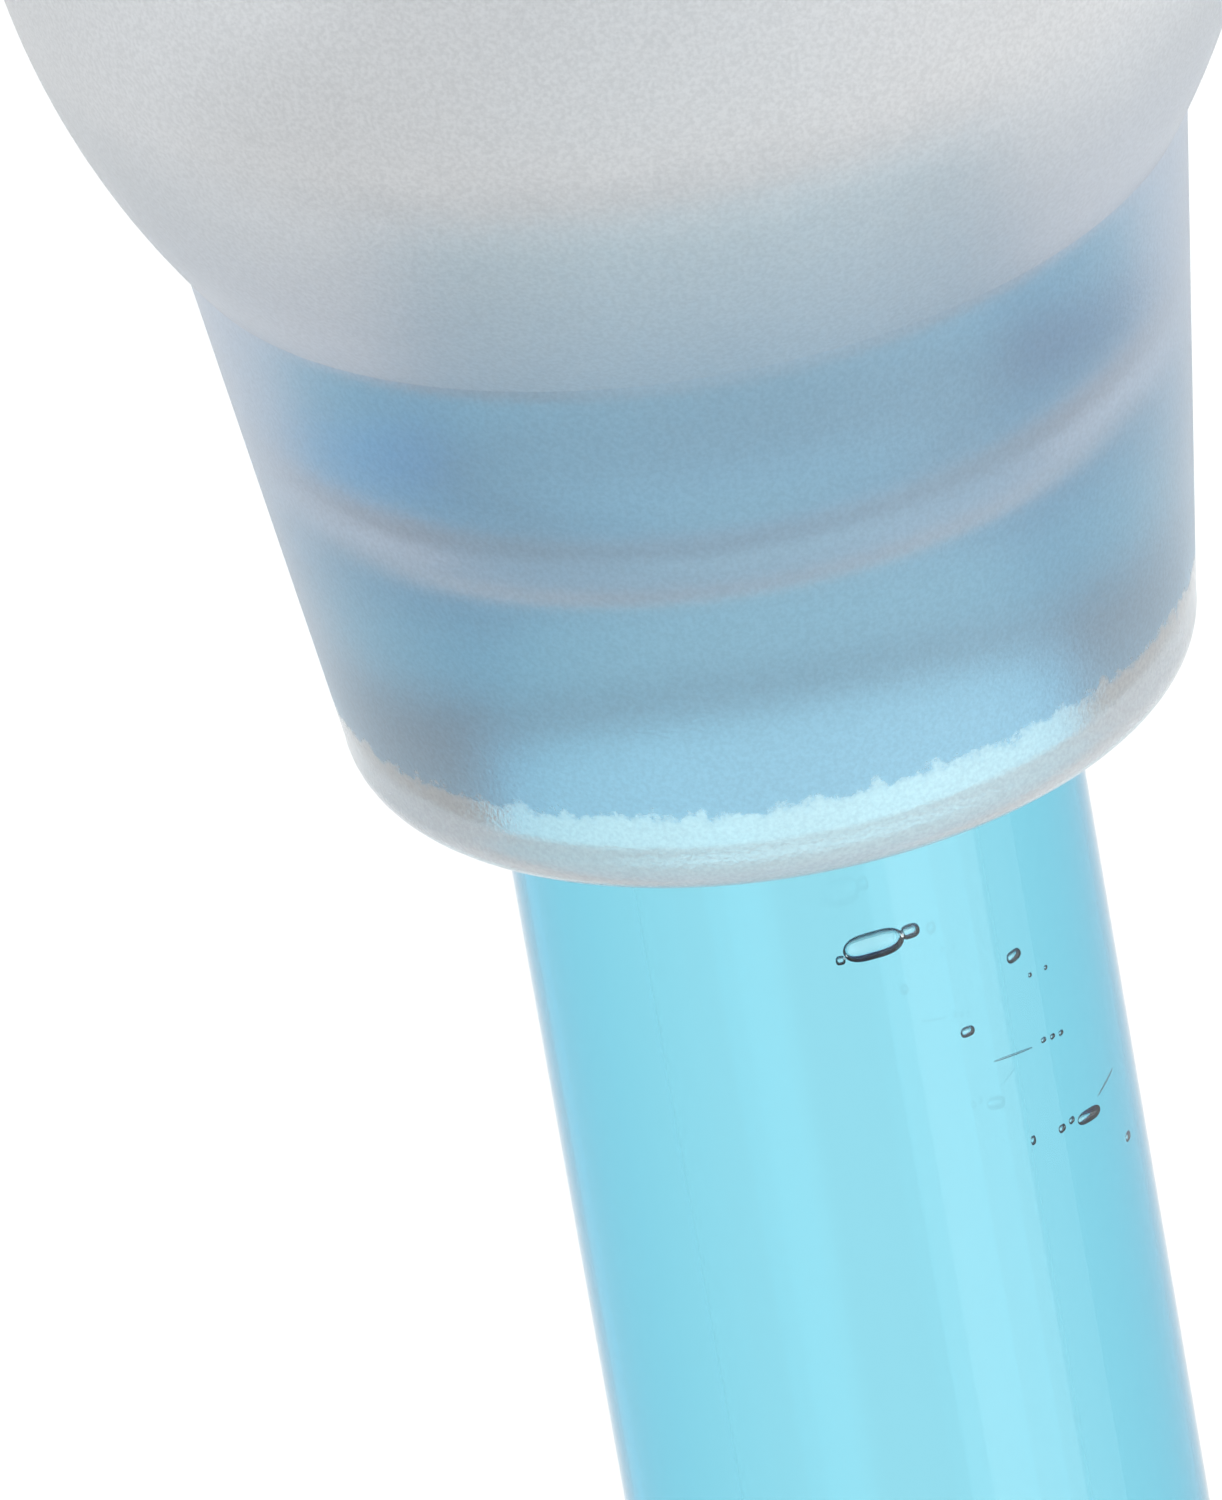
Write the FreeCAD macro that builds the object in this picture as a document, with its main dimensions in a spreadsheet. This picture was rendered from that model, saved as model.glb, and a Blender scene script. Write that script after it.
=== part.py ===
"""A three-valve pipette filler in frosted silicone, with a tinted glass pipette pushed into its collar.

The squeeze ball sits above the collar that grips the pipette. A small ball sealed in each of three
tubes makes a valve: the air valve above the squeeze ball, the suction valve below it, and the empty
valve in the side arm, which ends in the blow-out bulb. Each valve opens when the two pads beside its
ball are pinched. The origin is the middle of the squeeze ball, where a hand holds the filler, +Z is
up along the pipette, and the side arm leans towards +Y.
"""

import FreeCAD, Part
import math
import os
from types import SimpleNamespace

import Sketcher

Vector = FreeCAD.Vector

# Driving sizes in millimetres, and one angle in degrees.
DRIVING_SIZES = {
    "tube_radius": 4.0,
    "tube_bore": 2.4,
    "tube_insertion": 10.9,
    "tube_reach": 165.0,
    "tip_length": 32.0,
    "tip_radius": 1.6,
    "tip_bore": 0.5,
    "rim_rounding": 0.25,
    "body_radius": 5.0,
    "body_bore": 3.6,
    "body_drop": 20.0,
    "body_shoulder": 4.0,
    "lip_radius": 5.92,
    "lip_rounding": 0.8,
    "neck_radius": 6.95,
    "neck_height": 8.5,
    "chamber_radius": 8.84,
    "shoulder_height": 14.7,
    "chamber_height": 20.0,
    "collar_height": 26.0,
    "socket_gap": 0.05,
    "mouth_radius": 4.75,
    "mouth_depth": 0.9,
    "groove_radius": 4.45,
    "lower_land_top": 4.2,
    "groove_height": 1.1,
    "upper_land_top": 7.5,
    "relief_radius": 4.6,
    "groove_slope": 0.15,
    "ledge_bore": 3.0,
    "ledge_height": 2.4,
    "cavity_radius": 5.6,
    "cavity_top": 22.0,
    "stem_radius": 6.5,
    "stem_bore": 2.5,
    "stem_length": 20.0,
    "valve_ball": 4.5,
    "valve_bulge": 8.0,
    "pad_radius": 3.5,
    "arm_radius": 5.0,
    "arm_bore": 1.9,
    "arm_length": 22.0,
    "arm_ball": 3.5,
    "arm_bulge": 6.8,
    "arm_pad_radius": 2.9,
    "arm_level": 15.2,
    "arm_lean": 55.0,
    "boss_radius": 5.0,
    "boss_reach": 14.5,
    "spigot_radius": 3.2,
    "spigot_length": 4.0,
    "seat_gap": 0.05,
    "pad_gap": 0.3,
    "pad_rise": 0.5,
    "pad_thickness": 1.4,
    "pad_travel": 1.0,
    "ball_radius": 28.0,
    "ball_wall": 2.5,
    "ball_neck": 29.0,
    "squeeze_radius": 17.0,
    "bulb_radius": 10.0,
    "bulb_wall": 1.8,
    "bulb_neck": 10.8,
    "bulb_hole": 1.5,
    "bulb_squeeze": 5.5,
    "wall_gap": 0.2,
}

SIDES = {"left": -1, "right": 1}


class Length:
    """A size known both as a number and as the spreadsheet formula that gives it."""

    def __init__(self, value, formula):
        self.value = value
        self.formula = formula

    def combine(self, other, sign):
        other = as_length(other)
        values = {
            "+": lambda: self.value + other.value,
            "-": lambda: self.value - other.value,
            "*": lambda: self.value * other.value,
            "/": lambda: self.value / other.value,
        }
        return Length(values[sign](), f"({self.formula} {sign} {other.formula})")

    def __add__(self, other):
        return self.combine(other, "+")

    def __sub__(self, other):
        return self.combine(other, "-")

    def __rsub__(self, other):
        return as_length(other).combine(self, "-")

    def __mul__(self, other):
        return self.combine(other, "*")

    def __rmul__(self, other):
        return as_length(other).combine(self, "*")

    def __truediv__(self, other):
        return self.combine(other, "/")

    def __neg__(self):
        return as_length(0).combine(self, "-")


def as_length(number):
    """A plain number as a Length, and a Length as it is."""
    return number if isinstance(number, Length) else Length(float(number), str(number))


def leg(hypotenuse, other_leg):
    """The second short side of a right triangle."""
    value = math.sqrt(hypotenuse.value**2 - other_leg.value**2)
    return Length(value, f"sqrt({hypotenuse.formula} ^ 2 - {other_leg.formula} ^ 2)")


def sine(angle):
    return Length(math.sin(math.radians(angle.value)), f"sin({angle.formula})")


def cosine(angle):
    return Length(math.cos(math.radians(angle.value)), f"cos({angle.formula})")


def tangent_arc(step_out, step_up):
    """The radius of an arc that leaves the vertical and moves sideways by one step over the other."""
    return (step_out * step_out + step_up * step_up) / (2 * step_out)


def make_sheet(document):
    """Writes the driving sizes to a spreadsheet, and gives them back by name."""
    sheet = document.addObject("Spreadsheet::Sheet", "Sizes")
    for row, (alias, number) in enumerate(DRIVING_SIZES.items(), start=1):
        sheet.set(f"A{row}", alias.replace("_", " "))
        sheet.set(f"B{row}", str(number))
        sheet.setAlias(f"B{row}", alias)
    document.recompute()
    named = {alias: Length(number, f"Sizes.{alias}") for alias, number in DRIVING_SIZES.items()}
    return SimpleNamespace(**named)


doc = FreeCAD.newDocument("PipetteFiller")
size = make_sheet(doc)
grip_height = size.collar_height + size.stem_length + size.ball_neck


def bind(thing, **formulas):
    """Binds each named property of an object to its size."""
    for name, length in formulas.items():
        thing.setExpression(name, as_length(length).formula)
    return thing


def place(thing, y=0, z=0, turn_axis=None, turn=None):
    """Sets where an object stands, as offsets and one turn, all bound to the sheet."""
    axis = turn_axis or Vector(0, 0, 1)
    angle = as_length(turn if turn is not None else 0)
    y = as_length(y)
    z = as_length(z)
    thing.Placement = FreeCAD.Placement(Vector(0, y.value, z.value), FreeCAD.Rotation(axis, angle.value))
    thing.setExpression("Placement.Base.y", y.formula)
    thing.setExpression("Placement.Base.z", z.formula)
    if turn is not None:
        thing.setExpression("Placement.Rotation.Angle", angle.formula)
    return thing


def place_on_filler(thing, level=0):
    """Moves a piece drawn upwards from the given level above the collar's mouth to its place."""
    return place(thing, z=level - grip_height)


def place_on_arm(thing, reach):
    """Moves a piece drawn along the side arm's axis, at the given distance out along that arm."""
    out = reach * sine(size.arm_lean)
    up = size.arm_level - grip_height + reach * cosine(size.arm_lean)
    return place(thing, y=out, z=up, turn_axis=Vector(-1, 0, 0), turn=size.arm_lean)


def edge_between(start, end, curve):
    """A straight edge, or an arc that turns left for a positive radius and right for a negative one.

    The second value says whether the arc runs from its end to its start.
    """
    if curve is None:
        return Part.LineSegment(start, end), False
    chord = end - start
    rise = math.sqrt(curve.value**2 - (chord.Length / 2) ** 2)
    left = Vector(-chord.y, chord.x, 0).normalize()
    turn = math.copysign(1, curve.value)
    centre = (start + end) / 2 + left * rise * turn
    first, last = (start, end) if turn > 0 else (end, start)
    angles = [math.atan2(p.y - centre.y, p.x - centre.x) for p in (first, last)]
    circle = Part.Circle(centre, Vector(0, 0, 1), abs(curve.value))
    return Part.ArcOfCircle(circle, *angles), turn < 0


def draw_outline(sketch, outline):
    """Draws a closed outline of (radius, height, curve of the edge that arrives there) corners."""
    corners = [(as_length(corner[0]), as_length(corner[1])) for corner in outline]
    curves = [corner[2] if len(corner) > 2 else None for corner in outline]
    points = [Vector(radius.value, height.value, 0) for radius, height in corners]
    start_ends = []
    for index, start in enumerate(points):
        following = (index + 1) % len(points)
        edge, backwards = edge_between(start, points[following], curves[following])
        number = sketch.addGeometry(edge, False)
        start_ends.append((number, 2, 1) if backwards else (number, 1, 2))
        if curves[following] is not None:
            curve = curves[following]
            rule = sketch.addConstraint(Sketcher.Constraint("Radius", number, abs(curve.value)))
            sketch.setExpression(f"Constraints[{rule}]", f"abs({curve.formula})")
    for index, (radius, height) in enumerate(corners):
        number, start, _ = start_ends[index]
        before, _, end = start_ends[index - 1]
        sketch.addConstraint(Sketcher.Constraint("Coincident", before, end, number, start))
        for kind, length, own_axis in (("DistanceX", radius, -2), ("DistanceY", height, -1)):
            if length.value == 0:
                sketch.addConstraint(Sketcher.Constraint("PointOnObject", number, start, own_axis))
                continue
            rule = sketch.addConstraint(Sketcher.Constraint(kind, -1, 1, number, start, length.value))
            sketch.setExpression(f"Constraints[{rule}]", length.formula)


def turned_body(name, outline):
    """A PartDesign body turned about its own Z axis from a closed outline."""
    body = doc.addObject("PartDesign::Body", name)
    sketch = body.newObject("Sketcher::SketchObject", f"{name}_outline")
    plane = next(plane for plane in body.Origin.OriginFeatures if plane.Role == "XZ_Plane")
    sketch.AttachmentSupport = [(plane, "")]
    sketch.MapMode = "FlatFace"
    draw_outline(sketch, outline)
    turned = body.newObject("PartDesign::Revolution", f"{name}_turned")
    turned.Profile = sketch
    turned.ReferenceAxis = (sketch, ["V_Axis"])
    turned.Angle = 360
    return body


def sideways_rod(name, radius, start, end, side):
    """A cylinder along X, between two distances from the middle, on the left or the right."""
    rod = bind(doc.addObject("Part::Cylinder", name), Radius=radius, Height=end - start)
    rod.Placement = FreeCAD.Placement(
        Vector(side * start.value, 0, 0), FreeCAD.Rotation(Vector(0, side, 0), 90)
    )
    rod.setExpression("Placement.Base.x", f"{side} * {start.formula}")
    return rod


def cut_away(name, base, tools):
    """A base with several tools cut from it, one after the other."""
    for number, tool in enumerate(tools, start=1):
        step = doc.addObject("Part::Cut", name if number == len(tools) else f"{name}_cut_{number}")
        step.Base = base
        step.Tool = tool
        base = step
    return base


def valve_stem(name, valve, low, high, spigot=0):
    """A tube with a swelling round its valve ball, at height 0, and a pocket for a pad on each side."""
    swell = leg(valve.bulge, valve.radius)
    seat = valve.ball + size.seat_gap
    mouth = leg(seat, valve.bore)
    foot = [(valve.bore, low), (valve.radius, low)]
    if spigot:
        foot = [
            (valve.bore, low - spigot),
            (size.spigot_radius, low - spigot),
            (size.spigot_radius, low),
            (valve.radius, low),
        ]
    outline = foot + [
        (valve.radius, -swell),
        (valve.radius, swell, valve.bulge),
        (valve.radius, high - size.rim_rounding),
        (valve.radius - size.rim_rounding, high, size.rim_rounding),
        (valve.bore, high),
        (valve.bore, mouth),
        (valve.bore, -mouth, -seat),
    ]
    tube = turned_body(f"{name}_tube", outline)
    floor = valve.bulge + size.pad_rise - size.pad_thickness - size.pad_travel - size.wall_gap
    pockets = [
        sideways_rod(f"{name}_pocket_{label}", valve.pad + size.pad_gap, floor, valve.bulge * 1.5, side)
        for label, side in SIDES.items()
    ]
    return cut_away(name, tube, pockets)


def valve_ball(name, valve):
    return bind(doc.addObject("Part::Sphere", name), Radius=valve.ball)


def valve_pad(name, valve, side):
    """A raised pad whose face follows the swelling of the stem."""
    face = valve.bulge + size.pad_rise
    rod = sideways_rod(f"{name}_rod", valve.pad, face - size.pad_thickness, face * 1.5, side)
    crown = bind(doc.addObject("Part::Sphere", f"{name}_crown"), Radius=face)
    pad = doc.addObject("Part::Common", name)
    pad.Base = rod
    pad.Tool = crown
    return pad


def hollow_ball(name, outer, wall, neck, neck_radius, bore, opening, far_hole=None):
    """A hollow ball with a flat-ended neck below and above, open on both sides for its soft walls."""
    inner = outer - wall
    hole = bore if far_hole is None else far_hole
    top = [(neck_radius, leg(outer, neck_radius), outer), (neck_radius, neck), (hole, neck)]
    if far_hole is not None:
        top = [(hole, leg(outer, hole), outer)]
    outline = [(bore, -neck), (neck_radius, -neck), (neck_radius, -leg(outer, neck_radius))]
    outline += top
    outline += [(hole, leg(inner, hole)), (bore, -leg(inner, bore), -inner)]
    ball = turned_body(f"{name}_round", outline)
    windows = [
        sideways_rod(f"{name}_window_{label}", opening, inner / 4, outer * 1.5, side)
        for label, side in SIDES.items()
    ]
    return cut_away(name, ball, windows)


def squeeze_wall(name, outer, wall, opening):
    """The round stretch of a hollow ball that a finger pushes in, drawn facing up."""
    inner = outer - wall
    edge = opening - size.wall_gap
    return turned_body(
        name,
        [(0, inner), (edge, leg(inner, edge), -inner), (edge, leg(outer, edge)), (0, outer, outer)],
    )


def face_sideways(wall, side, y=0, z=0):
    """Turns a squeeze wall to the left or the right and puts it at its ball's middle."""
    return place(wall, y=y, z=z, turn_axis=Vector(0, side, 0), turn=90)


def collar():
    """The neck that grips the pipette, the shoulder and the chamber that the side arm opens into."""
    land = size.tube_radius + size.socket_gap
    socket_top = size.tube_insertion + size.socket_gap
    ledge_top = socket_top + size.ledge_height
    groove_top = size.lower_land_top + size.groove_height
    lower_curve = tangent_arc(
        size.chamber_radius - size.neck_radius, size.shoulder_height - size.neck_height
    )
    upper_curve = tangent_arc(
        size.chamber_radius - size.stem_radius, size.collar_height - size.chamber_height
    )
    skin = turned_body(
        "collar_skin",
        [
            (0, 0),
            (size.lip_radius - size.lip_rounding, 0),
            (size.lip_radius, size.lip_rounding, size.lip_rounding),
            (size.neck_radius, size.neck_height),
            (size.chamber_radius, size.shoulder_height, lower_curve),
            (size.chamber_radius, size.chamber_height),
            (size.stem_radius, size.collar_height, upper_curve),
            (0, size.collar_height),
        ],
    )
    hollow = turned_body(
        "collar_hollow",
        [
            (0, -size.wall_gap),
            (size.mouth_radius, -size.wall_gap),
            (size.mouth_radius, size.wall_gap),
            (land, size.mouth_depth),
            (land, size.lower_land_top),
            (size.groove_radius, size.lower_land_top + size.groove_slope),
            (size.groove_radius, groove_top - size.groove_slope),
            (land, groove_top),
            (land, size.upper_land_top),
            (size.relief_radius, size.upper_land_top + size.groove_slope),
            (size.relief_radius, socket_top),
            (size.ledge_bore, socket_top),
            (size.ledge_bore, ledge_top),
            (size.cavity_radius, ledge_top + size.ledge_bore / 2),
            (size.cavity_radius, size.cavity_top - size.stem_bore),
            (size.stem_bore, size.cavity_top),
            (size.stem_bore, size.collar_height + size.wall_gap),
            (0, size.collar_height + size.wall_gap),
        ],
    )
    boss = doc.addObject("Part::Cylinder", "arm_boss")
    bind(boss, Radius=size.boss_radius, Height=size.boss_reach)
    port = doc.addObject("Part::Cylinder", "arm_port")
    bind(port, Radius=size.spigot_radius, Height=size.boss_reach * 1.5)
    for rod in (boss, port):
        place(rod, z=size.arm_level, turn_axis=Vector(-1, 0, 0), turn=size.arm_lean)
    outside = doc.addObject("Part::Fuse", "collar_outside")
    outside.Base = skin
    outside.Tool = boss
    return cut_away("pipette_collar", outside, [hollow, port])


def pipette():
    """A tinted tube: a mouthpiece with a fire-polished rim, a wider body below it and a drawn-out tip."""
    taper = size.tip_length - size.tube_reach
    body_top = -size.body_drop - size.body_shoulder
    rounding = size.rim_rounding
    return turned_body(
        "pipette_tube",
        [
            (size.tip_bore, -size.tube_reach),
            (size.tip_radius, -size.tube_reach),
            (size.body_radius, taper),
            (size.body_radius, body_top),
            (size.tube_radius, -size.body_drop),
            (size.tube_radius, size.tube_insertion - rounding),
            (size.tube_radius - rounding, size.tube_insertion, rounding),
            (size.tube_bore + rounding, size.tube_insertion),
            (size.tube_bore, size.tube_insertion - rounding, rounding),
            (size.tube_bore, -size.body_drop),
            (size.body_bore, body_top),
            (size.body_bore, taper),
        ],
    )


def build():
    """Makes every sub-part in its place, and gives them back."""
    main_valve = SimpleNamespace(
        radius=size.stem_radius,
        bore=size.stem_bore,
        ball=size.valve_ball,
        bulge=size.valve_bulge,
        pad=size.pad_radius,
    )
    arm_valve = SimpleNamespace(
        radius=size.arm_radius,
        bore=size.arm_bore,
        ball=size.arm_ball,
        bulge=size.arm_bulge,
        pad=size.arm_pad_radius,
    )
    half_stem = size.stem_length / 2
    half_arm = size.arm_length / 2
    arm_valve_reach = size.boss_reach + half_arm
    bulb_reach = size.boss_reach + size.arm_length + size.bulb_neck

    pieces = [place_on_filler(collar()), place_on_filler(pipette())]
    for name, level in (
        ("suction", size.collar_height + half_stem),
        ("air", grip_height + size.ball_neck + half_stem),
    ):
        stem = valve_stem(f"{name}_valve_stem", main_valve, -half_stem, half_stem)
        pieces.append(place_on_filler(stem, level))
        pieces.append(place_on_filler(valve_ball(f"{name}_valve_ball", main_valve), level))
        for label, side in SIDES.items():
            pad = valve_pad(f"{name}_pad_{label}", main_valve, side)
            pieces.append(place_on_filler(pad, level))

    arm = valve_stem("side_arm", arm_valve, -half_arm, half_arm, size.spigot_length)
    pieces.append(place_on_arm(arm, arm_valve_reach))
    pieces.append(place_on_arm(valve_ball("empty_valve_ball", arm_valve), arm_valve_reach))
    for label, side in SIDES.items():
        pad = valve_pad(f"empty_pad_{label}", arm_valve, side)
        pieces.append(place_on_arm(pad, arm_valve_reach))

    shell = hollow_ball(
        "squeeze_ball_shell",
        size.ball_radius,
        size.ball_wall,
        size.ball_neck,
        size.stem_radius,
        size.stem_bore,
        size.squeeze_radius,
    )
    pieces.append(place(shell))
    bulb = hollow_ball(
        "blow_out_bulb",
        size.bulb_radius,
        size.bulb_wall,
        size.bulb_neck,
        size.arm_radius,
        size.arm_bore,
        size.bulb_squeeze,
        far_hole=size.bulb_hole,
    )
    pieces.append(place_on_arm(bulb, bulb_reach))
    bulb_out = bulb_reach * sine(size.arm_lean)
    bulb_up = size.arm_level - grip_height + bulb_reach * cosine(size.arm_lean)
    for label, side in SIDES.items():
        ball_side = squeeze_wall(
            f"squeeze_wall_{label}", size.ball_radius, size.ball_wall, size.squeeze_radius
        )
        pieces.append(face_sideways(ball_side, side))
        bulb_side = squeeze_wall(
            f"blow_out_wall_{label}", size.bulb_radius, size.bulb_wall, size.bulb_squeeze
        )
        pieces.append(face_sideways(bulb_side, side, y=bulb_out, z=bulb_up))
    return pieces


def check(pieces):
    """Stops with a plain message if any object failed, or a sub-part is not one valid solid."""
    for thing in doc.Objects:
        if "Invalid" in thing.State or "Error" in thing.State:
            raise RuntimeError(f"{thing.Label} is {thing.State}")
    for piece in pieces:
        shape = piece.Shape
        if shape.isNull() or not shape.isValid() or len(shape.Solids) != 1:
            raise RuntimeError(f"{piece.Label} has no single valid solid")
        for tool in (piece.Tool,) if piece.TypeId == "Part::Cut" else ():
            if abs(piece.Base.Shape.Volume - shape.Volume) < 1e-3:
                raise RuntimeError(f"{tool.Label} cuts nothing from {piece.Label}")


def export(pieces):
    """Writes each sub-part to its own STEP file, named after it."""
    os.makedirs("parts", exist_ok=True)
    for piece in pieces:
        piece.Shape.exportStep(f"parts/{piece.Label}.step")
        box = piece.Shape.BoundBox
        print(f"{piece.Label}: {piece.Shape.Volume:.1f} mm3, z {box.ZMin:.2f} to {box.ZMax:.2f}")


sub_parts = build()
doc.recompute()
check(sub_parts)
export(sub_parts)
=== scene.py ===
"""A three-valve pipette filler in frosted silicone, gripping a blue-tinted glass pipette.

The silicone is drawn as one continuous moulding: neighbouring pieces meet in faces that light crosses
unbent, and each soft stretch is drawn as a pair of halves, left and right.
"""

import math

import bmesh
import bpy
import numpy as np
from mathutils import Matrix, Vector


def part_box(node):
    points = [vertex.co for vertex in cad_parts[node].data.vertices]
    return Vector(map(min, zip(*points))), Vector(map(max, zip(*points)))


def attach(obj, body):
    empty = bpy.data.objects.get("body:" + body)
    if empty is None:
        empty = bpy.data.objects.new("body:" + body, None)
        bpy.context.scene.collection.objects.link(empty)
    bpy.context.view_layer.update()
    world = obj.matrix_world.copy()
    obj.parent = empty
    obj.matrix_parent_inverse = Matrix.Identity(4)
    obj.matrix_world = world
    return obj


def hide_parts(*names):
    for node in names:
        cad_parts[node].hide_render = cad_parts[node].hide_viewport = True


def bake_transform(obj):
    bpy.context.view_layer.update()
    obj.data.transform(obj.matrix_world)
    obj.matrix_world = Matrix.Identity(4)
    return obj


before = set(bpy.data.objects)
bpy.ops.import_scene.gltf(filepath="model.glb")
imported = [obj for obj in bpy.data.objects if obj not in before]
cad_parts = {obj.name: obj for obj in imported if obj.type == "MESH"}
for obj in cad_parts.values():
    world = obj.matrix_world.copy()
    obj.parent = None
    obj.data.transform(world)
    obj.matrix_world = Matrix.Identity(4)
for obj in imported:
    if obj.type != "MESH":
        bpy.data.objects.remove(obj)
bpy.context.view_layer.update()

MM = 0.001

SILICONE_IOR = 1.41
GLASS_IOR = 1.5
GLASS_TINT = (0.024, 0.707, 0.824)
GLASS_DENSITY = 410

# Noise scales for the silicone, and the height of its moulded grain in metres.
CLOUDS = 250
SPECKLE = 16000
SILICONE_GRAIN = 9000
SKIN_GRAIN = 17000
GRAIN_HEIGHT = 0.00002
SIDES = {"left": -1, "right": 1}


def node_middle(node):
    low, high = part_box(node)
    return (low + high) / 2


# Places and main sizes, in millimetres, read from the frame.
mouth_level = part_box("pipette_collar")[0].z / MM
collar_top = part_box("suction_valve_stem")[0].z / MM
tube_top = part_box("pipette_tube")[1].z / MM
tube_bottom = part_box("pipette_tube")[0].z / MM
body_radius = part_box("pipette_tube")[1].x / MM
chamber_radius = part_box("pipette_collar")[1].x / MM
ball_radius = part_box("squeeze_ball_shell")[1].y / MM
ball_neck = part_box("squeeze_ball_shell")[1].z / MM
suction_level = node_middle("suction_valve_ball").z / MM
air_level = node_middle("air_valve_ball").z / MM

# The side arm's axis: from the root of the arm through the empty valve to the blow-out bulb.
empty_valve = node_middle("empty_valve_ball") / MM
bulb_middle = (node_middle("blow_out_wall_left") + node_middle("blow_out_wall_right")) / 2 / MM
arm_way = (bulb_middle - empty_valve).normalized()
arm_root = empty_valve - arm_way * (empty_valve.y / arm_way.y)

MOUTHPIECE = 4.0
STEM_RADIUS = 6.5
STEM_BORE = 2.5
VALVE_BULGE = 8.0
PAD_RADIUS = 3.5
ARM_RADIUS = 5.0
ARM_BORE = 1.9
ARM_BULGE = 6.8
ARM_PAD_RADIUS = 2.9
PAD_RISE = 0.6
BALL_WALL = 2.5
BULB_RADIUS = 10.0
BULB_WALL = 1.8
BULB_HOLE = 1.5
VALVE_BALL = 4.5
ARM_BALL = 3.5
ARM_START = 14.5

# The collar, in millimetres above its mouth. The two lands are where it touches the pipette.
COLLAR_SPAN = 26.0
RAGGED_EDGE = 0.9
MOUTH_FLARE = 0.35
LOWER_LAND_TOP = 4.2
GROOVE_HEIGHT = 1.1
GROOVE_DEPTH = 0.24
UPPER_LAND_LOW = 5.3
UPPER_LAND_TOP = 7.5


# ---------------------------------------------------------------- materials


def new_material(name):
    material = bpy.data.materials.new(name)
    material.use_nodes = True
    nodes = material.node_tree.nodes
    return material, nodes, material.node_tree.links, nodes["Principled BSDF"]


def add_noise_bump(nodes, links, shader, scale, strength, distance):
    """A fine surface grain, in metres of height."""
    place = nodes.new("ShaderNodeTexCoord")
    noise = nodes.new("ShaderNodeTexNoise")
    noise.inputs["Scale"].default_value = scale
    noise.inputs["Detail"].default_value = 3
    bump = nodes.new("ShaderNodeBump")
    bump.inputs["Strength"].default_value = strength
    bump.inputs["Distance"].default_value = distance
    links.new(place.outputs["Object"], noise.inputs["Vector"])
    links.new(noise.outputs["Fac"], bump.inputs["Height"])
    links.new(bump.outputs["Normal"], shader.inputs["Normal"])


def add_absorption(nodes, links, colour, density):
    """Light lost inside, per metre: the density times what each part of the colour lacks of 1."""
    volume = nodes.new("ShaderNodeVolumeAbsorption")
    volume.inputs["Color"].default_value = (*colour, 1)
    volume.inputs["Density"].default_value = density
    links.new(volume.outputs["Volume"], nodes["Material Output"].inputs["Volume"])


def ramp(nodes, links, source, stops):
    """A colour ramp; each stop is a place from 0 to 1 and a grey level or a colour."""
    node = nodes.new("ShaderNodeValToRGB")
    elements = node.color_ramp.elements
    while len(elements) < len(stops):
        elements.new(0.5)
    for element, (spot, value) in zip(elements, stops):
        colour = value if isinstance(value, tuple) else (value,) * 3
        element.position = spot
        element.color = (*colour, 1)
    links.new(source, node.inputs["Fac"])
    return node.outputs["Color"]


def clouded(nodes, links, scale, dark, light):
    """Slow, faint clouds of shade between two colours."""
    place = nodes.new("ShaderNodeTexCoord")
    noise = nodes.new("ShaderNodeTexNoise")
    noise.inputs["Scale"].default_value = scale
    noise.inputs["Detail"].default_value = 2
    links.new(place.outputs["Object"], noise.inputs["Vector"])
    return ramp(nodes, links, noise.outputs["Fac"], [(0.35, dark), (0.65, light)])


def silicone(name, transmission, roughness, dark, light, bump=0.3):
    """Whitish see-through rubber with faint clouds and a moulded grain."""
    material, nodes, links, shader = new_material(name)
    links.new(clouded(nodes, links, CLOUDS, dark, light), shader.inputs["Base Color"])
    shader.inputs["Transmission Weight"].default_value = transmission
    shader.inputs["Roughness"].default_value = roughness
    shader.inputs["IOR"].default_value = SILICONE_IOR
    add_noise_bump(nodes, links, shader, SILICONE_GRAIN, bump, GRAIN_HEIGHT)
    return material


def height_above_mouth(nodes, links):
    """How far up the collar a point lies, as 0 at the mouth and 1 at its top, with a ragged error."""
    spot = nodes.new("ShaderNodeNewGeometry")
    split = nodes.new("ShaderNodeSeparateXYZ")
    noise = nodes.new("ShaderNodeTexNoise")
    noise.inputs["Scale"].default_value = 2600
    noise.inputs["Detail"].default_value = 5
    noise.inputs["Roughness"].default_value = 0.7
    shift = nodes.new("ShaderNodeMath")
    shift.operation = "MULTIPLY_ADD"
    shift.inputs[1].default_value = RAGGED_EDGE * MM
    scaled = nodes.new("ShaderNodeMapRange")
    scaled.inputs["From Min"].default_value = (mouth_level + RAGGED_EDGE / 2) * MM
    scaled.inputs["From Max"].default_value = (mouth_level + RAGGED_EDGE / 2 + COLLAR_SPAN) * MM
    links.new(spot.outputs["Position"], split.inputs["Vector"])
    links.new(spot.outputs["Position"], noise.inputs["Vector"])
    links.new(noise.outputs["Fac"], shift.inputs[0])
    links.new(split.outputs["Z"], shift.inputs[2])
    links.new(shift.outputs["Value"], scaled.inputs["Value"])
    return scaled.outputs["Result"]


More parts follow.
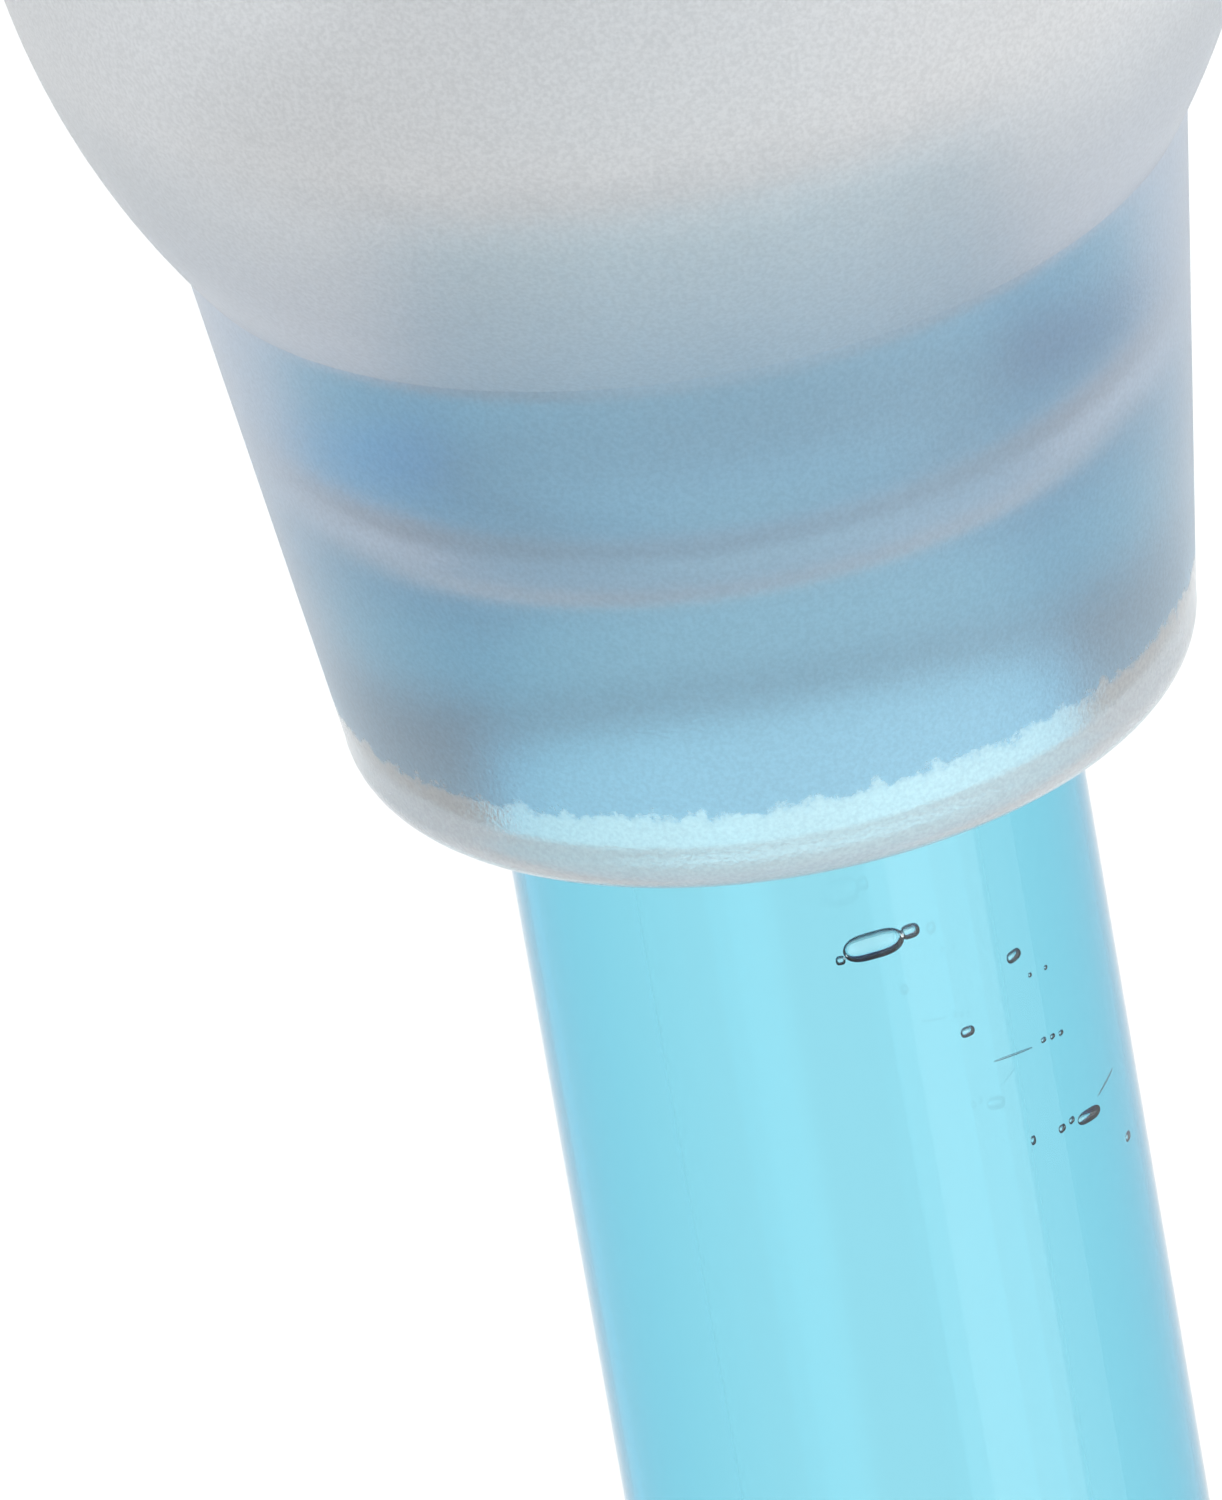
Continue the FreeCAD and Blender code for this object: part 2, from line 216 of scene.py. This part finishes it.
def collar_skin(name):
    """The collar's outside: a polished lip, a frosted neck and a milky shoulder.

    The neck's blue is painted light: a blue tint stands in for the tube's colour that real milky silicone
    would scatter there.
    """
    material, nodes, links, shader = new_material(name)
    height = height_above_mouth(nodes, links)
    levels = (1.4, 3.6, 8.6, 11.2, 12.6, 25.0)
    lip, scatter, neck, veil, milky, top = [level / COLLAR_SPAN for level in levels]
    frosted = lip + 0.004
    # Painted light: the blue from just above the lip up to the shoulder stands in for tube light scattered
    # inside the silicone.
    tone_and_painted_glow = [
        (lip, (0.97, 0.99, 1.0)),
        (frosted, (0.42, 0.60, 0.75)),
        (scatter, (0.50, 0.61, 0.75)),
        (neck, (0.62, 0.68, 0.78)),
        (veil, (0.75, 0.77, 0.79)),
        (milky, (0.77, 0.77, 0.775)),
        (top, (0.83, 0.845, 0.86)),
    ]
    speckle = clouded(nodes, links, SPECKLE, (0.93, 0.93, 0.93), (1.06, 1.06, 1.06))
    speckled = nodes.new("ShaderNodeVectorMath")
    speckled.operation = "MULTIPLY"
    links.new(ramp(nodes, links, height, tone_and_painted_glow), speckled.inputs[0])
    links.new(speckle, speckled.inputs[1])
    links.new(speckled.outputs["Vector"], shader.inputs["Base Color"])
    clear = [
        (lip, 0.64),
        (frosted, 0.52),
        (scatter, 0.72),
        (neck, 0.76),
        (veil, 0.64),
        (milky, 0.35),
        (top, 0.45),
    ]
    links.new(ramp(nodes, links, height, clear), shader.inputs["Transmission Weight"])
    rough = [(lip, 0.16), (frosted, 0.3), (neck, 0.28), (veil, 0.3), (milky, 0.4), (top, 0.32)]
    links.new(ramp(nodes, links, height, rough), shader.inputs["Roughness"])
    shader.inputs["IOR"].default_value = SILICONE_IOR
    add_noise_bump(nodes, links, shader, SKIN_GRAIN, 0.35, GRAIN_HEIGHT)
    return material


def see_through(name):
    """Where two pieces of one moulding meet: light goes straight on."""
    material, nodes, links, shader = new_material(name)
    shader.inputs["Base Color"].default_value = (1, 1, 1, 1)
    shader.inputs["Transmission Weight"].default_value = 1
    shader.inputs["Roughness"].default_value = 0
    shader.inputs["IOR"].default_value = 1
    shader.inputs["Specular IOR Level"].default_value = 0
    return material


def between_levels(nodes, links, bands):
    """A value of 1 where the surface lies between any of the given pairs of levels, and 0 elsewhere."""
    spot = nodes.new("ShaderNodeNewGeometry")
    split = nodes.new("ShaderNodeSeparateXYZ")
    links.new(spot.outputs["Position"], split.inputs["Vector"])
    total = None
    for low, high in bands:
        inside = nodes.new("ShaderNodeMath")
        inside.operation = "COMPARE"
        inside.inputs[1].default_value = (low + high) / 2 * MM
        inside.inputs[2].default_value = (high - low) / 2 * MM
        links.new(split.outputs["Z"], inside.inputs[0])
        if total is None:
            total = inside
            continue
        both = nodes.new("ShaderNodeMath")
        both.operation = "ADD"
        links.new(total.outputs["Value"], both.inputs[0])
        links.new(inside.outputs["Value"], both.inputs[1])
        total = both
    return total.outputs["Value"]


def tinted_glass(name, gripped_bands, etched_band):
    """Blue glass with a white etched line. Where silicone wets it, light bends only between the two."""
    material, nodes, links, shader = new_material(name)
    etched = between_levels(nodes, links, [etched_band])
    shader.inputs["Base Color"].default_value = (1, 1, 1, 1)
    clear = ramp(nodes, links, etched, [(0.0, 1.0), (1.0, 0.15)])
    rough = ramp(nodes, links, etched, [(0.0, 0.0), (1.0, 0.7)])
    links.new(clear, shader.inputs["Transmission Weight"])
    links.new(rough, shader.inputs["Roughness"])
    bend = nodes.new("ShaderNodeMapRange")
    bend.inputs["To Min"].default_value = GLASS_IOR
    bend.inputs["To Max"].default_value = GLASS_IOR / SILICONE_IOR
    links.new(between_levels(nodes, links, gripped_bands), bend.inputs["Value"])
    links.new(bend.outputs["Result"], shader.inputs["IOR"])
    add_absorption(nodes, links, GLASS_TINT, GLASS_DENSITY)
    return material


def clear_glass(name):
    """The valve balls: clear, faintly green glass with a slightly wavy surface."""
    material, nodes, links, shader = new_material(name)
    shade = clouded(nodes, links, 300, (0.86, 0.93, 0.9), (0.94, 0.97, 0.95))
    links.new(shade, shader.inputs["Base Color"])
    shader.inputs["Transmission Weight"].default_value = 0.9
    shader.inputs["Roughness"].default_value = 0.03
    shader.inputs["IOR"].default_value = GLASS_IOR
    add_noise_bump(nodes, links, shader, 400, 0.1, 0.00005)
    return material


LANDS = [
    (mouth_level + MOUTH_FLARE, mouth_level + LOWER_LAND_TOP),
    (mouth_level + UPPER_LAND_LOW, mouth_level + UPPER_LAND_TOP),
]
FILL_MARK = (mouth_level - 35.5, mouth_level - 35.0)

SKIN = collar_skin("silicone_collar_skin")
FROSTED = silicone("silicone_frosted", 0.45, 0.32, (0.825, 0.84, 0.855), (0.85, 0.86, 0.875))
CAVITY = silicone("silicone_cavity", 0.3, 0.5, (0.80, 0.82, 0.84), (0.86, 0.88, 0.90))
SATIN = silicone("silicone_satin", 0.7, 0.26, (0.98, 0.98, 0.98), (1.0, 1.0, 1.0))
INSIDE = silicone("silicone_inside", 1.0, 0.06, (0.94, 0.95, 0.96), (0.98, 0.98, 0.99), bump=0.05)
JOINED = see_through("silicone_joined")
TINTED = tinted_glass("glass_tinted", LANDS, FILL_MARK)
VALVE_GLASS = clear_glass("glass_valve_ball")

COLLAR_MATERIALS = [SKIN, JOINED, INSIDE, SATIN, CAVITY]
SOFT_MATERIALS = [FROSTED, JOINED, CAVITY]


# ---------------------------------------------------------------- mesh helpers


def arc(middle_r, middle_z, radius, start, end, steps):
    """Points round part of a circle, from one angle to another, in degrees."""
    turns = np.radians(np.linspace(start, end, steps + 1))
    return [(middle_r + radius * math.cos(t), middle_z + radius * math.sin(t)) for t in turns]


def turned(name, outline, materials, segments, sweep=(0, 360), place=None, adjust=None):
    """A solid turned about Z from stretches of (points, material); part turns get flat end faces.

    Each stretch starts where the one before it ends, and the last one closes the outline.
    """
    points, marks = [], []
    for stretch, material in outline:
        for point in stretch:
            if points and math.dist(points[-1], point) < 1e-6:
                continue
            if points:
                marks.append(materials.index(material))
            points.append(point)
    if math.dist(points[0], points[-1]) < 1e-6:
        points.pop()
    else:
        marks.append(materials.index(outline[-1][1]))
    full = sweep[1] - sweep[0] >= 360
    count = segments if full else segments + 1
    mesh = bmesh.new()
    rings = []
    for step in range(count):
        turn = math.radians(sweep[0] + (sweep[1] - sweep[0]) * step / segments)
        ring = [mesh.verts.new((r * math.cos(turn), r * math.sin(turn), z)) for r, z in points]
        rings.append(ring)
    for step in range(segments):
        here = rings[step]
        there = rings[(step + 1) % count]
        for index, mark in enumerate(marks):
            after = (index + 1) % len(points)
            if points[index][0] < 1e-9 and points[after][0] < 1e-9:
                continue
            face = mesh.faces.new((here[index], there[index], there[after], here[after]))
            face.material_index = mark
            face.smooth = True
    if not full:
        for ring in (rings[0], rings[-1]):
            face = mesh.faces.new(ring)
            face.material_index = materials.index(JOINED)
    bmesh.ops.remove_doubles(mesh, verts=mesh.verts, dist=1e-7)
    bmesh.ops.recalc_face_normals(mesh, faces=mesh.faces)
    if adjust:
        for corner in mesh.verts:
            corner.co = adjust(corner.co)
    mesh.transform(Matrix.Scale(MM, 4) @ (place or Matrix.Identity(4)))
    data = bpy.data.meshes.new(name)
    mesh.to_mesh(data)
    mesh.free()
    for material in materials:
        data.materials.append(material)
    piece = bpy.data.objects.new(name, data)
    bpy.context.scene.collection.objects.link(piece)
    return piece


def keep_edges_sharp(piece, angle=35):
    """Smooth faces with crisp corners."""
    piece.data.set_sharp_from_angle(angle=math.radians(angle))


def smooth_step(value):
    """0 below 0, 1 above 1, and an even S curve between."""
    value = min(max(value, 0.0), 1.0)
    return value * value * (3 - 2 * value)


def swollen(radius, bulge, low, high, fillet, steps=90):
    """The outside of a tube with a round swelling at height 0, with a soft hollow where the two meet."""
    points = []
    for z in np.linspace(low, high, steps + 1):
        swell = math.sqrt(max(bulge**2 - z**2, 0))
        larger = max(radius, swell)
        near = max(fillet - abs(radius - swell), 0) / fillet
        points.append((larger + near * near * fillet / 4, z))
    return points


def short_steps(outline, longest):
    """The same closed outline with extra points. Very long, thin faces lose light that grazes them."""
    points = []
    for here, after in zip(outline, outline[1:] + outline[:1]):
        steps = max(1, math.ceil(math.dist(here, after) / longest))
        for step in range(steps):
            part = step / steps
            points.append((here[0] + (after[0] - here[0]) * part, here[1] + (after[1] - here[1]) * part))
    return points


def combine(base, tool, operation):
    """Adds a tool to a mesh or cuts it away, and keeps the result as the base's own mesh."""
    modifier = base.modifiers.new("combine", "BOOLEAN")
    modifier.operation = operation
    modifier.solver = "EXACT"
    modifier.material_mode = "INDEX"
    modifier.object = tool
    bpy.context.view_layer.update()
    finished = base.evaluated_get(bpy.context.evaluated_depsgraph_get())
    data = bpy.data.meshes.new_from_object(finished)
    base.modifiers.remove(modifier)
    base.data = data
    bpy.data.objects.remove(tool)


def along_arm(reach):
    """The place of something drawn along Z, at a distance in mm out along the side arm."""
    turn = Vector((0, 0, 1)).rotation_difference(arm_way).to_matrix().to_4x4()
    return Matrix.Translation(arm_root + arm_way * reach) @ turn


def stands_for(piece, body, material_slot, *nodes):
    """Says which body a piece rides on, if it is given one, and which nodes it is drawn for."""
    if body:
        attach(piece, body)
    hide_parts(*nodes)


# ---------------------------------------------------------------- collar and pipette


def make_collar():
    """The ribbed neck that grips the pipette, its shoulder, the chamber and the root of the side arm."""
    lip, rounding = 5.92, 0.8
    neck, neck_top = 6.95, 8.5
    shoulder_top, chamber_top = 14.7, 20.0
    land = MOUTHPIECE + 0.02
    height = collar_top - mouth_level
    socket_top = tube_top - mouth_level + 0.05
    step = chamber_radius - neck
    curve = (step**2 + (shoulder_top - neck_top) ** 2) / (2 * step)
    lean = math.degrees(math.asin((shoulder_top - neck_top) / curve))
    top_step = chamber_radius - STEM_RADIUS
    top_curve = (top_step**2 + (height - chamber_top) ** 2) / (2 * top_step)
    top_lean = math.degrees(math.asin((height - chamber_top) / top_curve))
    outside = [(0, 0), (lip - rounding, 0)]
    outside += arc(lip - rounding, rounding, rounding, -90, 0, 12)
    up_neck = np.linspace(0, 1, 24)[1:-1]
    outside += [(lip + (neck - lip) * t, rounding + (neck_top - rounding) * t) for t in up_neck]
    outside += arc(chamber_radius - curve, shoulder_top, curve, -lean, 0, 30)
    outside += arc(chamber_radius - top_curve, chamber_top, top_curve, 0, top_lean, 20)
    stand = Matrix.Translation((0, 0, mouth_level))
    collar = turned(
        "pipette_collar_moulding",
        [(outside, SKIN), ([(STEM_RADIUS, height), (0, height)], JOINED)],
        COLLAR_MATERIALS,
        segments=256,
        place=stand,
    )
    boss_low, flare_width, flare_start, flare_length = 1.0, 1.7, 7.0, 6.0
    flare = []
    for z in np.linspace(boss_low, ARM_START, 40):
        spread = 1 - smooth_step((z - flare_start) / flare_length)
        flare.append((ARM_RADIUS + flare_width * spread, z))
    boss = turned(
        "arm_boss",
        [([(0, boss_low)] + flare, SKIN), ([(ARM_RADIUS, ARM_START), (0, ARM_START)], JOINED)],
        COLLAR_MATERIALS,
        segments=96,
        place=along_arm(0),
    )
    mouth = [(0, -0.2), (4.5, -0.2), (4.35, 0.05), (land, MOUTH_FLARE)]
    across_groove = np.linspace(0, 1, 25)
    groove = [
        (land + GROOVE_DEPTH * smooth_step(3 * min(t, 1 - t)), LOWER_LAND_TOP + GROOVE_HEIGHT * t)
        for t in across_groove
    ]
    relief_radius, ledge_bore, cavity_radius = 4.6, 3.0, 5.6
    relief = [(land, UPPER_LAND_TOP), (relief_radius, UPPER_LAND_TOP + 0.15), (relief_radius, socket_top)]
    cavity = [
        (relief_radius, socket_top),
        (ledge_bore, socket_top),
        (ledge_bore, 13.35),
        (cavity_radius, 14.85),
        (cavity_radius, 19.5),
        (STEM_BORE, 22.0),
        (STEM_BORE, height + 0.2),
        (0, height + 0.2),
    ]
    hollow = turned(
        "collar_hollow",
        [
            (mouth, INSIDE),
            ([(land, MOUTH_FLARE), (land, LOWER_LAND_TOP)], JOINED),
            (groove, SATIN),
            ([(land, UPPER_LAND_LOW), (land, UPPER_LAND_TOP)], JOINED),
            (relief, SATIN),
            (cavity, CAVITY),
        ],
        COLLAR_MATERIALS,
        segments=256,
        place=stand,
    )
    port_low, port_high = 2.0, ARM_START + 1
    port_ends = [(0, port_low), (ARM_BORE, port_low), (ARM_BORE, port_high), (0, port_high)]
    port = turned("arm_port", [(port_ends, CAVITY)], COLLAR_MATERIALS, segments=64, place=along_arm(0))
    combine(collar, boss, "UNION")
    combine(collar, hollow, "DIFFERENCE")
    combine(collar, port, "DIFFERENCE")
    keep_edges_sharp(collar, 20)
    stands_for(collar, "root", "silicone", "pipette_collar")


# Bubbles and flaws in the glass near its outer face. Each is its turn round the tube from the front in
# degrees, its drop below the collar's mouth, and its half width, half height and tilt.
BUBBLES = [
    (10.3, 2.00, 0.43, 0.21, 1),
    (18.2, 1.95, 0.14, 0.11, 0),
    (3.1, 2.10, 0.07, 0.07, 0),
    (40.8, 2.98, 0.13, 0.09, 8),
    (43.9, 3.38, 0.035, 0.035, 0),
    (48.7, 3.43, 0.035, 0.035, 0),
    (26.7, 3.73, 0.11, 0.08, 0),
    (44.6, 4.42, 0.05, 0.04, 5),
    (47.3, 4.46, 0.05, 0.04, 5),
    (50.0, 4.50, 0.05, 0.04, 5),
    (36.0, 4.36, 0.35, 0.016, -8),
    (45.7, 5.85, 0.07, 0.06, 10),
    (48.8, 5.83, 0.06, 0.05, 10),
    (55.1, 5.98, 0.28, 0.10, -10),
    (62.5, 5.75, 0.30, 0.016, 12),
    (69.4, 6.86, 0.09, 0.07, 0),
]


def add_bubbles(tube):
    """Closed hollows inside the wall, whose faces look into the air that they hold."""
    mesh = bmesh.new()
    mesh.from_mesh(tube.data)
    for turn, drop, half_width, half_height, tilt in BUBBLES:
        depth = min(half_height, 0.12)
        angle = math.radians(turn)
        reach = MOUTHPIECE - 0.08 - depth
        middle = Vector((reach * math.sin(angle), -reach * math.cos(angle), mouth_level - drop))
        shape = (
            Matrix.Scale(MM, 4)
            @ Matrix.Translation(middle)
            @ Matrix.Rotation(angle, 4, "Z")
            @ Matrix.Rotation(-math.radians(tilt), 4, "Y")
            @ Matrix.Diagonal((half_width, depth, half_height, 1))
        )
        made = bmesh.ops.create_icosphere(mesh, subdivisions=4, radius=1, matrix=shape)
        faces = {face for corner in made["verts"] for face in corner.link_faces}
        back = shape.inverted()
        for corner in made["verts"]:
            point = back @ corner.co
            point.x = math.copysign(abs(point.x) ** 0.6, point.x)
            corner.co = shape @ point
        for face in faces:
            face.smooth = True
        bmesh.ops.reverse_faces(mesh, faces=list(faces))
    mesh.to_mesh(tube.data)
    mesh.free()


def make_pipette():
    """The mouthpiece that the collar grips, the wider body below it and the drawn-out tip."""
    bore, body_bore, rim = 2.4, 3.6, 0.25
    tip_bore, tip_radius, tip_length = 0.5, 1.6, 32.0
    shoulder_top, shoulder_low = mouth_level - 20.0, mouth_level - 24.0
    taper_top = tube_bottom + tip_length
    drop = np.linspace(0, 1, 13)
    ease = [(smooth_step(t), shoulder_low + (shoulder_top - shoulder_low) * t) for t in drop]
    outline = [(tip_bore, tube_bottom), (tip_radius, tube_bottom), (body_radius, taper_top)]
    outline += [(body_radius + (MOUTHPIECE - body_radius) * part, z) for part, z in ease]
    outline += arc(MOUTHPIECE - rim, tube_top - rim, rim, 0, 90, 8)
    outline += arc(bore + rim, tube_top - rim, rim, 90, 180, 8)
    outline += [(body_bore + (bore - body_bore) * part, z) for part, z in reversed(ease)]
    outline += [(body_bore, taper_top)]
    tube = turned("tinted_pipette", [(short_steps(outline, 1.5), TINTED)], [TINTED], segments=128)
    add_bubbles(tube)
    keep_edges_sharp(tube)
    stands_for(tube, "pipette", "tinted_glass", "pipette_tube")


# ---------------------------------------------------------------- soft tubes, ball and bulb


def half_pair(name, outline, segments, place, nodes, moving, adjust=None):
    """Two half mouldings, left and right, each drawn for the given nodes and the wall or pad on its side.
    """
    sweeps = {"right": (-90, 90), "left": (90, 270)}
    for label, side in SIDES.items():
        half = turned(
            f"{name}_half_{label}",
            outline,
            SOFT_MATERIALS,
            segments=segments,
            sweep=sweeps[label],
            place=place,
            adjust=adjust,
        )
        keep_edges_sharp(half)
        body = f"{moving}_{label}"
        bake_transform(half)
        stands_for(half, None, "silicone", *nodes, body)


def raised_pads(pad_radius, bulge):
    """A change of shape that lifts a round pad with a soft edge on each side of a swelling."""

    def adjust(point):
        across = math.hypot(point.y, point.z)
        if point.length < bulge - 0.6 or across > pad_radius + 0.5:
            return point
        lift = PAD_RISE * (1 - smooth_step((across - pad_radius + 0.15) / 0.5))
        dimple = 0.2 * (1 - smooth_step(across / (pad_radius * 0.6)))
        return point * (1 + (lift - dimple) / point.length)

    return adjust


def valve_outline(radius, bore, ball, bulge, low, high, open_top):
    """A tube that swells round a ball in a seat, in stretches for turned()."""
    seat = ball + 0.05
    reach = math.degrees(math.acos(bore / seat))
    fillet = 1.2
    outside = swollen(radius, bulge, low, high, fillet)
    top = [outside[-1], (bore, high)]
    if open_top:
        outside = swollen(radius, bulge, low, high - 0.6, fillet)
        outside += arc(radius - 0.6, high - 0.6, 0.6, 0, 90, 8)
        top = [outside[-1], (bore + 0.3, high)]
        top += arc(bore + 0.3, high - 0.3, 0.3, 90, 180, 5)
    inside = [(bore, top[-1][1])] + arc(0, 0, seat, reach, -reach, 40) + [(bore, low)]
    return [
        (outside, FROSTED),
        (top, FROSTED if open_top else JOINED),
        (inside, CAVITY),
        ([(bore, low), outside[0]], JOINED),
    ]


def make_valve_ball(node, radius, place):
    ball = turned(
        f"{node}_glass",
        [(arc(0, 0, radius, -90, 90, 40), VALVE_GLASS)],
        [VALVE_GLASS],
        segments=64,
        place=place,
    )
    stands_for(ball, "root", "valve_glass", node)


def make_valves():
    half_stem = suction_level - collar_top
    for name, level, open_top in (("suction", suction_level, False), ("air", air_level, True)):
        stand = Matrix.Translation((0, 0, level))
        sizes = (STEM_RADIUS, STEM_BORE, VALVE_BALL, VALVE_BULGE)
        half_pair(
            f"{name}_valve",
            valve_outline(*sizes, -half_stem, half_stem, open_top),
            120,
            stand,
            [f"{name}_valve_stem"],
            f"{name}_pad",
            raised_pads(PAD_RADIUS, VALVE_BULGE),
        )
        make_valve_ball(f"{name}_valve_ball", VALVE_BALL, stand)
    valve_reach = (empty_valve - arm_root).length
    half_arm = valve_reach - ARM_START
    half_pair(
        "side_arm",
        valve_outline(ARM_RADIUS, ARM_BORE, ARM_BALL, ARM_BULGE, -half_arm, half_arm, False),
        120,
        along_arm(valve_reach),
        ["side_arm"],
        "empty_pad",
        raised_pads(ARM_PAD_RADIUS, ARM_BULGE),
    )
    make_valve_ball("empty_valve_ball", ARM_BALL, along_arm(valve_reach))


def parting_line(outer, height):
    """A change of shape that leaves the low ridge of a mould's parting line where the halves meet."""

    def adjust(point):
        if abs(point.x) > 0.01 or point.length < outer - 0.3:
            return point
        return point * (1 + height / point.length)

    return adjust


def make_squeeze_ball():
    inner = ball_radius - BALL_WALL
    outside = swollen(STEM_RADIUS, ball_radius, -ball_neck, ball_neck, 2.0, 160)
    turn = math.degrees(math.acos(STEM_BORE / inner))
    inside = [(STEM_BORE, ball_neck)] + arc(0, 0, inner, turn, -turn, 90) + [(STEM_BORE, -ball_neck)]
    outline = [
        (outside, FROSTED),
        ([outside[-1], (STEM_BORE, ball_neck)], JOINED),
        (inside, CAVITY),
        ([(STEM_BORE, -ball_neck), outside[0]], JOINED),
    ]
    half_pair(
        "squeeze_ball",
        outline,
        160,
        Matrix.Identity(4),
        ["squeeze_ball_shell"],
        "squeeze_wall",
        parting_line(ball_radius, 0.12),
    )


def make_blow_out_bulb():
    inner = BULB_RADIUS - BULB_WALL
    neck = (bulb_middle - empty_valve).length - ((empty_valve - arm_root).length - ARM_START)
    low = -neck
    top = math.sqrt(BULB_RADIUS**2 - BULB_HOLE**2)
    outside = swollen(ARM_RADIUS, BULB_RADIUS, low, 4.0, 1.0, 80)
    end = math.degrees(math.acos((BULB_HOLE + 0.4) / BULB_RADIUS))
    outside += arc(0, 0, BULB_RADIUS, math.degrees(math.asin(4.0 / BULB_RADIUS)), end, 40)
    rim_turn = math.degrees(math.acos(BULB_HOLE / inner))
    root_turn = math.degrees(math.acos(ARM_BORE / inner))
    inside = [(BULB_HOLE, top - 0.35)] + arc(0, 0, inner, rim_turn, -root_turn, 60) + [(ARM_BORE, low)]
    outline = [
        (outside, FROSTED),
        ([outside[-1], (BULB_HOLE + 0.12, top - 0.1), (BULB_HOLE, top - 0.35)], FROSTED),
        (inside, CAVITY),
        ([(ARM_BORE, low), outside[0]], JOINED),
    ]
    half_pair(
        "blow_out_bulb",
        outline,
        120,
        along_arm((bulb_middle - arm_root).length),
        ["blow_out_bulb"],
        "blow_out_wall",
        parting_line(BULB_RADIUS, 0.06),
    )


make_collar()
make_pipette()
make_valves()
make_squeeze_ball()
make_blow_out_bulb()


# ---------------------------------------------------------------- camera, floor and light


def make_camera():
    """A long lens, so the view is almost parallel, looking down at the collar and rolled a little."""
    elevation = math.radians(27)
    roll = math.radians(10.1)
    distance = 450 * MM
    frame_height = 20.55 * MM
    look = Vector((0, math.cos(elevation), -math.sin(elevation)))
    level_up = Vector((0, math.sin(elevation), math.cos(elevation)))
    level_right = Vector((1, 0, 0))
    right = level_right * math.cos(roll) - level_up * math.sin(roll)
    up = level_right * math.sin(roll) + level_up * math.cos(roll)
    target = Vector((0, 0, mouth_level * MM)) - right * 2.28 * MM - up * 0.68 * MM
    data = bpy.data.cameras.new("camera")
    data.sensor_width = 36
    data.lens = 36 * distance / frame_height
    data.clip_start = 0.01
    data.clip_end = 50
    camera = bpy.data.objects.new("camera", data)
    bpy.context.scene.collection.objects.link(camera)
    turn = Matrix((right, up, -look)).transposed()
    camera.matrix_world = Matrix.Translation(target - look * distance) @ turn.to_4x4()
    bpy.context.scene.camera = camera


def make_floor():
    data = bpy.data.meshes.new("floor")
    level = tube_bottom * MM - 0.002
    far = 12.0
    corners = [(-far, -far, level), (far, -far, level), (far, far, level), (-far, far, level)]
    data.from_pydata(corners, [], [(0, 1, 2, 3)])
    material, _, _, shader = new_material("floor")
    shader.inputs["Base Color"].default_value = (0.9, 0.9, 0.9, 1)
    shader.inputs["Roughness"].default_value = 0.9
    data.materials.append(material)
    floor = bpy.data.objects.new("floor", data)
    bpy.context.scene.collection.objects.link(floor)


def add_light(kind, name, place, aim, power, **settings):
    data = bpy.data.lights.new(name, kind)
    data.energy = power
    for setting, value in settings.items():
        setattr(data, setting, value)
    light = bpy.data.objects.new(name, data)
    bpy.context.scene.collection.objects.link(light)
    light.location = place
    light.rotation_mode = "QUATERNION"
    light.rotation_quaternion = (Vector(aim) - Vector(place)).to_track_quat("-Z", "Y")
    return light


def add_low_panel(name, turn, distance, width, height, power, level):
    """A soft panel standing low, at an angle to the right of the camera's side of the object."""
    angle = math.radians(turn)
    place = (distance * math.sin(angle), -distance * math.cos(angle), level - distance / 2)
    panel = add_light(
        "AREA", name, place, (0, 0, place[2]), power, shape="RECTANGLE", size=width, size_y=height
    )
    panel.visible_camera = False


def make_light():
    world = bpy.data.worlds.new("studio")
    world.use_nodes = True
    sky = world.node_tree.nodes["Background"]
    sky.inputs["Color"].default_value = (0.955, 0.985, 1, 1)
    sky.inputs["Strength"].default_value = 0.76
    bpy.context.scene.world = world
    add_light("SUN", "overhead", (0, 0.2, 2), (0, 0.2, 0), 1.4, angle=math.radians(40))
    # An upright tube seen from above mirrors what stands low beside it, so these panels stand low.
    level = mouth_level * MM
    add_low_panel("right_panel", 56, 0.22, 0.30, 0.3, 0.11, level)
    add_low_panel("right_core", 50, 0.22, 0.16, 0.3, 0.12, level)
    bpy.context.scene.view_settings.view_transform = "Standard"


def let_light_through():
    """Light crosses up to a dozen faces of silicone and glass here, so its paths must not be cut short."""
    paths = bpy.context.scene.cycles
    paths.max_bounces = 40
    paths.transmission_bounces = 40
    paths.glossy_bounces = 40


make_camera()
make_floor()
make_light()
let_light_through()
